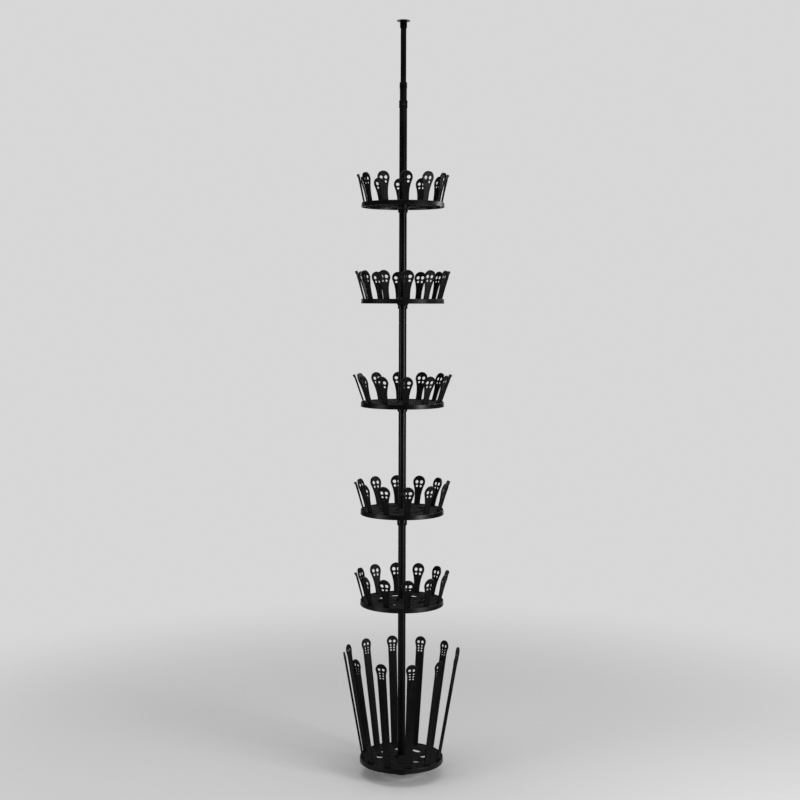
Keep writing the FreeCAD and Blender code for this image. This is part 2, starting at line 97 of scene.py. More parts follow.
# %% Networks and finishes
class Network:
    """A tree of nodes while it is being built."""

    def __init__(self, tree):
        self.tree = tree
        self.tree.nodes.clear()

    def give(self, socket, value):
        """Fill a socket with another socket's value, or with a plain one."""
        if isinstance(value, bpy.types.NodeSocket):
            self.tree.links.new(value, socket)
        else:
            socket.default_value = value

    def node(self, kind, inputs, **settings):
        """A new node: first its settings, then its inputs, by name or by number."""
        made = self.tree.nodes.new(kind)
        for name, value in settings.items():
            setattr(made, name, value)
        for name, value in inputs.items():
            self.give(made.inputs[name], value)
        return made


class Finish(Network):
    """One material while it is being built, with the sockets that the recipes share."""

    def __init__(self, name):
        self.material = bpy.data.materials.new(name)
        self.material.use_nodes = True
        super().__init__(self.material.node_tree)
        self.shader = self.node("ShaderNodeBsdfPrincipled", {})
        self.node("ShaderNodeOutputMaterial", {"Surface": self.shader.outputs["BSDF"]})
        self.place = self.node("ShaderNodeTexCoord", {}).outputs["Object"]
        self.facing = self.node("ShaderNodeNewGeometry", {}).outputs["Normal"]

    def use(self, **inputs):
        """Set the shader's inputs: base_color=... fills Base Color."""
        for name, value in inputs.items():
            label = name.replace("_", " ").title().replace("Ior", "IOR")
            self.give(self.shader.inputs[label], value)


print("a finish starts with", [socket.name for socket in Finish("trial").shader.inputs][:4])
bpy.data.materials.remove(bpy.data.materials["trial"])

# %% [markdown]
# Noise is the raw material of wear, dust and grain. Sizes are real ones, because the texture space is
# the object's own space in metres: a grain of 0.4 * MM is 0.4 mm on the real thing. Drawing out the
# space that the noise is read in turns round blotches into streaks: with a draw of ten along Z, every
# blot is ten times as tall as it is wide. Most noise lies between 0.35 and 0.65, so that is the range
# that is spread out, unless a recipe wants only the peaks.

# %% Noise, ranges and blends
MM = 0.001
NOISE_LOW = 0.35
NOISE_HIGH = 0.65
EVEN = (1.0, 1.0, 1.0)


def noise(finish, size, detail=3.0, draw=EVEN):
    """Noise with blots of about this size in metres, drawn out by these factors along X, Y and Z."""
    squeeze = tuple(1 / (size * factor) for factor in draw)
    place = finish.node("ShaderNodeMapping", {"Vector": finish.place, "Scale": squeeze})
    inputs = {"Vector": place.outputs["Vector"], "Scale": 1.0, "Detail": detail}
    return finish.node("ShaderNodeTexNoise", inputs).outputs["Fac"]


def spread(finish, value, low=0.0, high=1.0, start=NOISE_LOW, stop=NOISE_HIGH):
    """Go smoothly from low to high while the value goes from start to stop."""
    inputs = {"Value": value, "From Min": start, "From Max": stop, "To Min": low, "To Max": high}
    made = finish.node("ShaderNodeMapRange", inputs, interpolation_type="SMOOTHSTEP")
    return made.outputs["Result"]


def combine(finish, operation, first, second):
    """Arithmetic on two values."""
    return finish.node("ShaderNodeMath", {0: first, 1: second}, operation=operation).outputs["Value"]


def blend(finish, mask, under, over, share=1.0):
    """The under colour, and this share of the over colour where the mask is 1."""
    if share < 1.0:
        mask = combine(finish, "MULTIPLY", mask, share)
    made = finish.node("ShaderNodeMix", {"Factor": mask}, data_type="RGBA")
    colours = [socket for socket in made.inputs if socket.type == "RGBA"]
    finish.give(colours[0], under)
    finish.give(colours[1], over)
    return next(socket for socket in made.outputs if socket.type == "RGBA")


print("noise, spread, combine and blend are ready")

# %% [markdown]
# Two masks tell the recipes where on the piece they are. Worn edges are where the Bevel node, which
# rounds the shading normal across an edge, disagrees with the true one. Dust settles where the
# surface looks up. Both fade between two limits of how well two directions agree, where 1 is the same
# direction. Bumps are chained: each one starts from the normal that the one before it made.

# %% Masks and bumps
BEVEL_SAMPLES = 6
EDGE_SHARP = 0.80
EDGE_FLAT = 0.995
UPWARD_START = 0.6
UPWARD_STOP = 0.98


def worn_edge(finish, width):
    """1 along edges, fading to 0 over about this width in metres."""
    rounded = finish.node("ShaderNodeBevel", {"Radius": width}, samples=BEVEL_SAMPLES)
    normals = {0: rounded.outputs["Normal"], 1: finish.facing}
    agree = finish.node("ShaderNodeVectorMath", normals, operation="DOT_PRODUCT")
    return spread(finish, agree.outputs["Value"], 1.0, 0.0, EDGE_SHARP, EDGE_FLAT)


def settled(finish):
    """1 where the surface faces up, where dust can lie."""
    parts = finish.node("ShaderNodeSeparateXYZ", {"Vector": finish.facing})
    return spread(finish, parts.outputs["Z"], start=UPWARD_START, stop=UPWARD_STOP)


def bumped(finish, layers):
    """Chain bump layers of (height socket, depth in metres) and hand the normal to the shader."""
    normal = None
    for height, depth in layers:
        inputs = {"Height": height, "Distance": depth, "Strength": 1.0}
        if normal is not None:
            inputs["Normal"] = normal
        normal = finish.node("ShaderNodeBump", inputs).outputs["Normal"]
    finish.use(normal=normal)


print("masks for edges and dust are ready")

# %% [markdown]
# ## Powder coat on the tubes
#
# The pole is thin-walled steel tube. It is rolled from strip and welded, so a faint ridge runs down
# its back, and the coat doesn't hide it. It could be modelled, but at a tenth of a millimetre a bump
# does as well: its height falls away with the distance from the line x = 0, which a slow noise bends a
# little, and it is kept to the side that faces +Y.

# %% The weld seam
SEAM_WANDER = 0.3 * MM
SEAM_REACH = 0.8 * MM


def weld_seam(finish):
    """A ridge about 1 mm wide that wanders a little, down the side of the tube that faces +Y."""
    bends = noise(finish, 30 * MM, detail=2.0)
    wander = spread(finish, bends, -SEAM_WANDER, SEAM_WANDER, 0.0, 1.0)
    parts = finish.node("ShaderNodeSeparateXYZ", {"Vector": finish.place})
    aside = combine(finish, "ABSOLUTE", combine(finish, "ADD", parts.outputs["X"], wander), 0.0)
    ridge = spread(finish, aside, 1.0, 0.0, 0.0, SEAM_REACH)
    behind = combine(finish, "GREATER_THAN", parts.outputs["Y"], 0.0)
    return combine(finish, "MULTIPLY", ridge, behind)


print(f"the seam is {1000 * SEAM_REACH:.1f} mm wide at half its height")

# %% [markdown]
# Over the steel lies a satin black powder coat. Powder melts into a skin that never lies quite flat: up
# close it looks like orange peel, with dimples about 1.5 mm across and a few thousandths of a millimetre
# deep. Hands and shoes leave smears, and every move of a tray leaves fine lengthwise rubs. All of it is
# noise at those real sizes, with the rubs drawn out along the pole. Two blacks take turns under it, and
# a little of a lighter one shows where the coat is rubbed or its edge is worn.

# %% Powder coat
DEEP_BLACK = (0.0016, 0.0016, 0.0017, 1)
SOFT_BLACK = (0.0036, 0.0036, 0.0038, 1)
COAT_RUBBED = (0.010, 0.010, 0.010, 1)
COAT_WORN = (0.016, 0.016, 0.015, 1)


def powder_coat():
    """Satin black coat with smears, rubs, worn edges, orange peel and the tube's seam."""
    finish = Finish("powder coat, satin black")
    smears = noise(finish, 60 * MM, detail=5.0, draw=(1.0, 1.0, 3.0))
    rubs = noise(finish, 1.2 * MM, detail=2.0, draw=(1.0, 1.0, 60.0))
    peel = noise(finish, 1.6 * MM, detail=1.0)
    grit = noise(finish, 0.4 * MM, detail=2.0)
    rubbed = spread(finish, rubs, start=0.60, stop=0.74)
    edges = worn_edge(finish, 0.5 * MM)
    shade = blend(finish, spread(finish, smears), DEEP_BLACK, SOFT_BLACK)
    shade = blend(finish, rubbed, shade, COAT_RUBBED, share=0.25)
    shade = blend(finish, edges, shade, COAT_WORN, share=0.4)
    rough = spread(finish, smears, low=0.27, high=0.33)
    rough = combine(finish, "ADD", rough, combine(finish, "MULTIPLY", rubbed, 0.04))
    finish.use(base_color=shade, roughness=rough, specular_ior_level=0.13)
    bumped(finish, [(peel, 0.0025 * MM), (grit, 0.0005 * MM), (weld_seam(finish), 0.08 * MM)])
    return finish.material


finishes = {"tube_black": powder_coat()}
print("powder coat:", len(finishes["tube_black"].node_tree.nodes), "nodes")

# %% [markdown]
# ## Moulded black plastic
#
# Trays and blades are injection moulded from black plastic. The mould's spark-eroded skin gives a fine
# satin grain, about 0.4 mm. Thick places sink a little as they cool, shoes scuff the edges grey, and
# dust lies on whatever faces up. A tray is broad, so its flow marks are clouds. Dusty plastic is also
# duller, so the mask for the dust raises the roughness too.

# %% Tray plastic
DUST = (0.075, 0.070, 0.064, 1.0)
TRAY_SCUFFED = (0.012, 0.012, 0.012, 1)
TRAY_WORN = (0.016, 0.016, 0.017, 1)


def tray_plastic():
    """Satin black moulding with clouds, scuffs, worn edges and dust."""
    finish = Finish("moulded plastic, tray")
    clouds = noise(finish, 50 * MM, detail=4.0)
    grain = noise(finish, 0.45 * MM, detail=2.0)
    sink = noise(finish, 20 * MM, detail=1.0)
    scuffs = noise(finish, 2.5 * MM, detail=5.0, draw=(4.0, 1.0, 1.0))
    specks = noise(finish, 4 * MM, detail=6.0)
    upward = settled(finish)
    scuffed = spread(finish, scuffs, start=0.60, stop=0.72)
    edges = combine(finish, "MULTIPLY", worn_edge(finish, 1.2 * MM), spread(finish, clouds, 0.25, 0.8))
    dust = combine(finish, "MULTIPLY", upward, spread(finish, specks, 0.0, 0.035, 0.45, 0.75))
    shade = blend(finish, spread(finish, clouds), DEEP_BLACK, SOFT_BLACK)
    shade = blend(finish, scuffed, shade, TRAY_SCUFFED, share=0.25)
    shade = blend(finish, edges, shade, TRAY_WORN, share=0.35)
    shade = blend(finish, dust, shade, DUST)
    rough = spread(finish, clouds, low=0.32, high=0.38)
    rough = combine(finish, "ADD", rough, combine(finish, "MULTIPLY", upward, 0.5))
    finish.use(base_color=shade, roughness=rough, specular_ior_level=0.16)
    bumped(finish, [(grain, 0.005 * MM), (sink, 0.06 * MM), (scuffed, 0.01 * MM)])
    return finish.material


finishes["tray_black"] = tray_plastic()
print("tray plastic:", len(finishes["tray_black"].node_tree.nodes), "nodes")

# %% [markdown]
# A blade is long and thin, and the melt runs up it from its foot. So its flow marks are streaks along
# the blade, and the scuffs run the same way, because shoes are pulled off upward. Its skin is duller
# than a tray's. Nothing faces up on it but the very tip, so it has no dust.

# %% Blade plastic
BLADE_SOFT_BLACK = (0.0040, 0.0040, 0.0042, 1)
BLADE_SCUFFED = (0.013, 0.013, 0.013, 1)
BLADE_WORN = (0.016, 0.016, 0.016, 1)


def blade_plastic():
    """Duller black moulding with flow streaks, scuffs and worn edges."""
    finish = Finish("moulded plastic, blade")
    flow = noise(finish, 6 * MM, detail=4.0, draw=(1.0, 1.0, 14.0))
    patches = noise(finish, 45 * MM, detail=3.0)
    grain = noise(finish, 0.4 * MM, detail=2.0)
    scuffs = noise(finish, 1.8 * MM, detail=4.0, draw=(1.0, 1.0, 9.0))
    scuffed = spread(finish, scuffs, start=0.60, stop=0.72)
    edges = combine(finish, "MULTIPLY", worn_edge(finish, 1.0 * MM), spread(finish, patches, 0.2, 0.9))
    shade = blend(finish, spread(finish, flow), DEEP_BLACK, BLADE_SOFT_BLACK)
    shade = blend(finish, scuffed, shade, BLADE_SCUFFED, share=0.3)
    shade = blend(finish, edges, shade, BLADE_WORN, share=0.35)
    rough = spread(finish, flow, low=0.44, high=0.52)
    rough = combine(finish, "ADD", rough, spread(finish, patches, -0.03, 0.03))
    finish.use(base_color=shade, roughness=rough, specular_ior_level=0.15)
    bumped(finish, [(grain, 0.0015 * MM), (flow, 0.006 * MM), (scuffed, 0.003 * MM)])
    return finish.material


finishes["holder_black"] = blade_plastic()
print("blade plastic:", len(finishes["holder_black"].node_tree.nodes), "nodes")

# %% [markdown]
# ## Collars, feet and rings
#
# These are moulded too, but their moulds are turned and polished on a lathe. So they are glossier,
# with hair-fine turning lines round them, which are noise drawn out flat and thin in height.

# %% Collar plastic
COLLAR_WORN = (0.018, 0.018, 0.018, 1)


def collar_plastic():
    """Glossier black moulding with turning lines, worn edges and a trace of dust."""
    finish = Finish("moulded plastic, collar")
    turning = noise(finish, 0.5 * MM, detail=2.0, draw=(80.0, 80.0, 1.0))
    patches = noise(finish, 15 * MM, detail=4.0)
    edges = combine(finish, "MULTIPLY", worn_edge(finish, 0.8 * MM), spread(finish, patches, 0.3, 1.0))
    dust = combine(finish, "MULTIPLY", settled(finish), spread(finish, patches, 0.0, 0.05))
    shade = blend(finish, spread(finish, patches), DEEP_BLACK, SOFT_BLACK)
    shade = blend(finish, edges, shade, COLLAR_WORN, share=0.4)
    shade = blend(finish, dust, shade, DUST)
    rough = spread(finish, patches, low=0.24, high=0.34)
    finish.use(base_color=shade, roughness=rough, specular_ior_level=0.13)
    bumped(finish, [(turning, 0.01 * MM), (patches, 0.03 * MM)])
    return finish.material


finishes["collar_black"] = collar_plastic()
print("collar plastic:", len(finishes["collar_black"].node_tree.nodes), "nodes")

# %% [markdown]
# ## What the pole hides, and what it stands on
#
# The grip bush, the piston and the spring's seat are natural grey plastic, never meant to be seen. The
# pads on both feet are dark rubber, matt and slightly pitted. The pits are Voronoi cells, because each
# has a deepest point and a sharp border, which noise doesn't have.

# %% Inner plastic and rubber
NATURAL_GREY = (0.30, 0.30, 0.29, 1)
NATURAL_PALE = (0.38, 0.38, 0.365, 1)
RUBBER_DARK = (0.014, 0.014, 0.014, 1)
RUBBER_GREY = (0.030, 0.029, 0.028, 1)
PIT_SIZE = 1.2 * MM


def inner_plastic():
    """Uncoloured plastic with faint clouds and a fine grain."""
    finish = Finish("natural plastic")
    clouds = noise(finish, 20 * MM, detail=3.0)
    grain = noise(finish, 0.5 * MM)
    shade = blend(finish, spread(finish, clouds), NATURAL_GREY, NATURAL_PALE)
    rough = spread(finish, clouds, low=0.42, high=0.55)
    finish.use(base_color=shade, roughness=rough, specular_ior_level=0.45)
    bumped(finish, [(grain, 0.02 * MM)])
    return finish.material


def pad_rubber():
    """Matt dark rubber with small pits."""
    finish = Finish("rubber")
    clouds = noise(finish, 8 * MM, detail=4.0)
    pits = finish.node("ShaderNodeTexVoronoi", {"Vector": finish.place, "Scale": 1 / PIT_SIZE})
    shade = blend(finish, spread(finish, clouds), RUBBER_DARK, RUBBER_GREY)
    rough = spread(finish, clouds, low=0.72, high=0.88)
    finish.use(base_color=shade, roughness=rough, specular_ior_level=0.30)
    bumped(finish, [(pits.outputs["Distance"], 0.05 * MM)])
    return finish.material


finishes["inner_plastic"] = inner_plastic()
finishes["pad_rubber"] = pad_rubber()
print("inner plastic and rubber are ready")

# %% [markdown]
# The spring is drawn steel wire with fine lines along it, and the grub screws are steel, blackened in
# oil and bright where the key has rubbed them. One recipe makes both, because only their tones and
# their roughness differ.

# %% Steels
ROUGH_RANGE = 0.12


def steel(name, dark, bright, worn, rough):
    """Bare steel: two tones, a third one at the edges, and fine drawing lines."""
    finish = Finish(name)
    lines = noise(finish, 0.4 * MM, detail=3.0, draw=(6.0, 6.0, 1.0))
    edges = worn_edge(finish, 0.3 * MM)
    shade = blend(finish, spread(finish, lines), dark, bright)
    shade = blend(finish, edges, shade, worn)
    dull = spread(finish, lines, low=rough, high=rough + ROUGH_RANGE)
    finish.use(base_color=shade, metallic=1.0, roughness=dull)
    bumped(finish, [(lines, 0.01 * MM)])
    return finish.material


finishes["spring_steel"] = steel(
    "spring steel",
    dark=(0.36, 0.36, 0.37, 1),
    bright=(0.50, 0.49, 0.48, 1),
    worn=(0.55, 0.54, 0.52, 1),
    rough=0.26,
)
finishes["screw_steel"] = steel(
    "blackened steel",
    dark=(0.05, 0.05, 0.052, 1),
    bright=(0.09, 0.09, 0.092, 1),
    worn=(0.32, 0.31, 0.30, 1),
    rough=0.38,
)
print("finishes:", ", ".join(sorted(finishes)))

# %% [markdown]
# ## Dressing the pieces
#
# The record says which finish each piece takes. Putting the new material into the piece's own slot
# keeps the mesh as it is, and one loop dresses the whole tower.

# %% Put each finish on its pieces
slot_of_node = {part["node"]: part["material_slot"] for part in frame["record"]["subparts"]}
for name, piece in nodes.items():
    for slot in piece.material_slots:
        slot.material = finishes[slot_of_node[name]]
print("dressed", len(nodes), "pieces")

# %% [markdown]
# ## The marks of the mould
#
# Turn a moulded tray over and there are two rings of small round marks, where the ejector pins pushed
# it out of the mould. They could be bump, but a mark that stands proud of the surface should be real
# geometry, because it then shows from any side. Each is a low disc with a dished face, spun from a short
# profile, whose points are shares of the disc's radius and height. Two small helpers come first, because
# the lips and the curtain need them too.

# %% A dished disc
DISC_SIDES = 24
DISH_RIM = 0.8
DISH_FLOOR = 0.7
DISH_LEVEL = 0.4


def mesh_of(shape, name):
    """The mesh of a finished bmesh, which is let go."""
    mesh = bpy.data.meshes.new(name)
    shape.to_mesh(mesh)
    shape.free()
    return mesh


def put(name, data):
    """A new object with this mesh, lamp or camera, placed in the scene."""
    made = bpy.data.objects.new(name, data)
    bpy.context.collection.objects.link(made)
    return made


def disc_mesh(name, radius, height):
    """Low round mark on the plane z = 0, hanging down by its height, with a dish in its face."""
    shape = bmesh.new()
    turns = [2 * math.pi * i / DISC_SIDES for i in range(DISC_SIDES)]
    profile = [(1.0, 0.0), (1.0, 1.0), (DISH_RIM, 1.0), (DISH_FLOOR, DISH_LEVEL)]
    rings = []
    for out, down in profile:
        reach = radius * out
        spots = [(reach * math.cos(turn), reach * math.sin(turn), -height * down) for turn in turns]
        rings.append([shape.verts.new(spot) for spot in spots])
    for upper, lower in zip(rings, rings[1:]):
        for i in range(DISC_SIDES):
            after = (i + 1) % DISC_SIDES
            shape.faces.new((upper[i], upper[after], lower[after], lower[i]))
    shape.faces.new(rings[-1])
    shape.faces.new(list(reversed(rings[0])))
    bmesh.ops.recalc_face_normals(shape, faces=shape.faces)
    return mesh_of(shape, name)


print("a disc has", len(disc_mesh("trial", 0.003, 0.0002).polygons), "faces")
bpy.data.meshes.remove(bpy.data.meshes["trial"])

# %% [markdown]
# The marks sit on the underside of the tray floor, half way between the ribs. The ribs' directions are
# read from the tray itself: the points at the ribs' lower edge, near the hub, give the angles, and
# with eight equal ribs an average over eight times the angle leaves only how far the tray is turned. The
# floor is 2.8 mm thick, and the ribs' lower edge lies 11.5 mm below its top.

# %% How far the ribs are turned
RIB_COUNT = 8
RIB_DEPTH = 0.0115
FLOOR_THICKNESS = 0.0028
SAME_HEIGHT = 0.0001
INNER_PINS = 0.052


def rib_angle(tray, underside):
    """How far the ribs of this tray stand turned, from the points at the ribs' lower edge."""
    height = underside + FLOOR_THICKNESS - RIB_DEPTH
    total = 0
    for vertex in tray.data.vertices:
        x, y, z = vertex.co
        if abs(z - height) < SAME_HEIGHT and math.hypot(x, y) < INNER_PINS:
            total += cmath.exp(1j * RIB_COUNT * math.atan2(y, x))
    return cmath.phase(total) / RIB_COUNT


print("ribs are", RIB_COUNT, "to a tray")

# %% [markdown]
# The hub's boss is the highest place of a tray, 6 mm above its floor. That gives the height of the
# underside. All the marks of a tray are one piece, which rides on that tray and turns with it.

# %% Place the marks under each tray
HUB_BOSS = 0.006
OUTER_PINS = 0.099
PIN_RADIUS = 0.003
PIN_HEIGHT = 0.00025


def ejector_marks(body):
    """Put two rings of marks under this body's tray, and say how far its ribs stand turned."""
    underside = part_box(body + "_tray")[1][2] - HUB_BOSS - FLOOR_THICKNESS
    turned = rib_angle(nodes[body + "_tray"], underside)
    marks = bmesh.new()
    disc = disc_mesh("mark", PIN_RADIUS, PIN_HEIGHT)
    for i in range(RIB_COUNT):
        angle = turned + (i + 0.5) * 2 * math.pi / RIB_COUNT
        for radius in (INNER_PINS, OUTER_PINS):
            before = len(marks.verts)
            marks.from_mesh(disc)
            marks.verts.ensure_lookup_table()
            spot = Vector((radius * math.cos(angle), radius * math.sin(angle), underside))
            bmesh.ops.translate(marks, verts=marks.verts[before:], vec=spot)
    bpy.data.meshes.remove(disc)
    piece = put(body + "_ejector_marks", mesh_of(marks, body + "_ejector_marks"))
    piece.data.materials.append(finishes["tray_black"])
    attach(piece, body)
    return turned


tiers = [body for body in frame["bodies"] if body.startswith("tier_")]
for body in tiers:
    print(body, f"ribs turned {math.degrees(ejector_marks(body)):.1f} degrees")

# %% [markdown]
# ## The turned-out lip
#
# Seen from the side, the head of each blade ends in a small lip that turns outward, so that a shoe
# can't slip off. It could be part of the blade's own mesh, but the blades are finished shapes, so the
# lip is a piece of its own: a rounded ridge that is swept along the top of the head and fades out
# towards its ends. The blade's mesh tells where it goes. The widest point gives the head's radius, the
# largest of the faces that look outward gives the lean, and the farthest points give the head's top and
# its outer surface.

# %% Find the head of a blade
BLADE_COUNT = 12
FACING_OUT = 0.8

Head = namedtuple("Head", "turned lean centre radius surface")


def blade_head(holders):
    """How far the blades stand turned, their lean, and the head's centre, radius and outer surface."""
    mesh = holders.data
    around = [math.atan2(vertex.co.y, vertex.co.x) for vertex in mesh.vertices]
    turned = cmath.phase(sum(cmath.exp(1j * BLADE_COUNT * angle) for angle in around)) / BLADE_COUNT
    level = Matrix.Rotation(-turned, 3, "Z")
    half_pitch = math.pi / BLADE_COUNT
    near = [
        level @ vertex.co
        for vertex, angle in zip(mesh.vertices, around)
        if abs(angle - turned) < half_pitch
    ]
    faces = [
        face
        for face in mesh.polygons
        if abs(math.atan2(face.center.y, face.center.x) - turned) < half_pitch
    ]
    outward = [face for face in faces if (level @ face.normal).x > FACING_OUT]
    normal = level @ max(outward, key=lambda face: face.area).normal
    lean = math.asin(-normal.z)
    up = Vector((math.sin(lean), 0, math.cos(lean)))
    radius = max(abs(spot.y) for spot in near)
    centre = max(spot.dot(up) for spot in near) - radius
    surface = max(spot.dot(normal) for spot in near if spot.dot(up) > centre)
    return Head(turned, lean, centre, radius, surface)


print("first blade of tier_2:", [round(value, 4) for value in blade_head(nodes["tier_2_shoe_holders"])])

# %% [markdown]
# The ridge is a row of half-round sections along the head's arc. Each one starts a little below the
# blade's surface, so that no gap can show, and its rise swells from nothing at both ends to the full
# height at the top. A power below 1 on the half round fills out its shoulders.

# %% One section of the lip
LIP_WIDTH = 0.0036
LIP_SINK = 0.0010
LIP_REACH = math.radians(76)
LIP_TAPER = 1.25
LIP_FULLNESS = 0.6
LIP_ROUND = 8


def lip_section(head, height, along):
    """The lip's outline at this place along it, which goes from -1 over the top, 0, to 1."""
    up = Vector((math.sin(head.lean), 0, math.cos(head.lean)))
    out = Vector((math.cos(head.lean), 0, -math.sin(head.lean)))
    angle = LIP_REACH * along
    ray = Vector((0, math.sin(angle), 0)) + up * math.cos(angle)
    rise = LIP_SINK * (1 - along ** 2) + height * (1 - along ** 2) ** LIP_TAPER
    outline = []
    for k in range(LIP_ROUND + 1):
        turn_over = math.pi * k / LIP_ROUND
        across = head.radius - LIP_WIDTH / 2 + LIP_WIDTH / 2 * math.cos(turn_over)
        proud = head.surface - LIP_SINK + rise * math.sin(turn_over) ** LIP_FULLNESS
        outline.append(up * head.centre + ray * across + out * proud)
    return outline


print("a section has", LIP_ROUND + 1, "points")

# %% [markdown]
# One sweep serves all twelve blades of a tray: the sections are worked out once, turned into place for
# each blade, and skinned with faces. Both ends are closed, because an open mesh has no inside.

# %% Sweep the lip along the head
LIP_STEPS = 28


def lip_mesh(name, head, height):
    """Twelve lips in one mesh: rounded ridges that stand this high on the heads' outer surfaces."""
    sections = [lip_section(head, height, 2 * step / LIP_STEPS - 1) for step in range(LIP_STEPS + 1)]
    shape = bmesh.new()
    for i in range(BLADE_COUNT):
        turn = Matrix.Rotation(head.turned + 2 * math.pi * i / BLADE_COUNT, 3, "Z")
        rings = [[shape.verts.new(turn @ spot) for spot in section] for section in sections]
        for before, after in zip(rings, rings[1:]):
            for k in range(LIP_ROUND + 1):
                beside = (k + 1) % (LIP_ROUND + 1)
                shape.faces.new((before[k], before[beside], after[beside], after[k]))
        shape.faces.new(rings[0])
        shape.faces.new(list(reversed(rings[-1])))
    bmesh.ops.recalc_face_normals(shape, faces=shape.faces)
    mesh = mesh_of(shape, name)
    mesh.polygons.foreach_set("use_smooth", [True] * len(mesh.polygons))
    return mesh


print("a lip is swept in", LIP_STEPS, "steps")

# %% [markdown]
# Only the shoe trays get lips: the boot blades' tips already reach to the edge of the object's size,
# and nothing may stand out beyond that.

# %% Put the lips on the shoe trays
LIP_HEIGHT = 0.0040

for body in tiers[1:]:
    mesh = lip_mesh(body + "_lips", blade_head(nodes[body + "_shoe_holders"]), LIP_HEIGHT)
    mesh.materials.append(finishes["holder_black"])
    lips = put(body + "_lips", mesh)
    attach(lips, body)
    print(body, "has lips with", len(mesh.polygons), "faces")

# %% [markdown]
# ## The spring
#
# Inside the telescope tube a long coil spring pushes the top tube against the ceiling. When the
# ceiling foot is pressed down the full 40 mm, its coils close up to two thirds of their 120 mm. Here a
# copy of the spring stands in on the telescope tube, with a mesh of its own, and the original is hidden.
# A solid spring would let the piston sink into it, so a copy of it stands in.

spring = put("working_spring", nodes["tension_spring"].data.copy())
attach(spring, "telescope")
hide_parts("tension_spring")
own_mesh(spring)

# %% [markdown]
# ## Floor and background
#
# The tower stands on a plain pale floor. A floor that ends would draw a line behind the lowest tray,
# so this one is a disc that fades away with distance from the pole: the material blends from a pale
# matt surface to nothing, and the background takes over.

# %% Floor
FLOOR_RADIUS = 2.6
FLOOR_SIDES = 128
FADE_START = 0.9
FLOOR_SHADE = 0.72


def grey(shade):
    """A neutral colour of this shade."""
    return (shade, shade, shade, 1)


def fading_floor():
    """Pale and matt round the tower, and nothing where the floor ends."""
    material = bpy.data.materials.new("pale floor")
    material.use_nodes = True
    ground = Network(material.node_tree)
    place = ground.node("ShaderNodeTexCoord", {}).outputs["Object"]
    length = ground.node("ShaderNodeVectorMath", {0: place}, operation="LENGTH").outputs["Value"]
    fade = spread(ground, length, start=FADE_START, stop=FLOOR_RADIUS)
    solid = ground.node("ShaderNodeBsdfDiffuse", {"Color": grey(FLOOR_SHADE)}).outputs["BSDF"]
    clear = ground.node("ShaderNodeBsdfTransparent", {}).outputs["BSDF"]
    mix = ground.node("ShaderNodeMixShader", {"Fac": fade, 1: solid, 2: clear}).outputs["Shader"]
    ground.node("ShaderNodeOutputMaterial", {"Surface": mix})
    return material


bpy.ops.mesh.primitive_circle_add(vertices=FLOOR_SIDES, radius=FLOOR_RADIUS, fill_type="NGON")
floor = bpy.context.object
floor.name = "floor"
floor.data.materials.append(fading_floor())
print(f"floor {2 * FLOOR_RADIUS} m across")

# %% [markdown]
# The background is the world. It has two faces: a pale grey that the camera, reflections and anything
# seen through glass get, and a weaker one that does the lighting. Were they the same, either the
# background would be too dark or the tower would get too much light.

# %% Background and sky light
BACKGROUND = 0.68
SKY = 0.42


def two_faced_world():
    """Pale to the camera, in reflections and through glass; a weaker, even light to the rest."""
    world = bpy.data.worlds.new("studio")
    bpy.context.scene.world = world
    world.use_nodes = True
    sky = Network(world.node_tree)
    ray = sky.node("ShaderNodeLightPath", {}).outputs
    seen = combine(sky, "MAXIMUM", ray["Is Camera Ray"], ray["Is Glossy Ray"])
    seen = combine(sky, "MAXIMUM", seen, ray["Is Transmission Ray"])
    light = sky.node("ShaderNodeBackground", {"Color": grey(SKY)}).outputs["Background"]
    pale = sky.node("ShaderNodeBackground", {"Color": grey(BACKGROUND)}).outputs["Background"]
    mix = sky.node("ShaderNodeMixShader", {"Fac": seen, 1: light, 2: pale}).outputs["Shader"]
    sky.node("ShaderNodeOutputWorld", {"Surface": mix})


two_faced_world()
print("background", BACKGROUND, "sky light", SKY)

# %% [markdown]
# ## The viewer's side of the room
#
# A black thing is a mirror of its surroundings. With a pale room on every side it turns grey all over,
# and the lines that the lamps draw on it drown. A real room is dark behind the viewer and has brown
# boards underfoot. So a dark curtain hangs round the room, well outside the lamps and open only behind
# the tower, and boards reach from the curtain to just short of the trays. Both are seen in reflections
# only: no view shows them, they cast no shadow, and they take no light from what they stand around.

# %% Panels round the room
ROOM_REACH = 150.0
ROOM_PANELS = 60


def room_side(name, inner, outer, material):
    """Panels round the viewer's side, from an inner to an outer ring given as (radius, height)."""
    shape = bmesh.new()
    seams = []
    for i in range(ROOM_PANELS + 1):
        turn = math.radians(ROOM_REACH * (2 * i / ROOM_PANELS - 1))
        ends = [(radius * math.sin(turn), -radius * math.cos(turn), z) for radius, z in (inner, outer)]
        seams.append([shape.verts.new(end) for end in ends])
    for left, right in zip(seams, seams[1:]):
        shape.faces.new((left[0], right[0], right[1], left[1]))
    side = put(name, mesh_of(shape, name))
    side.data.materials.append(material)
    side.visible_camera = False
    side.visible_diffuse = False
    side.visible_shadow = False
    return side


print("a side of the room has", ROOM_PANELS, "panels")
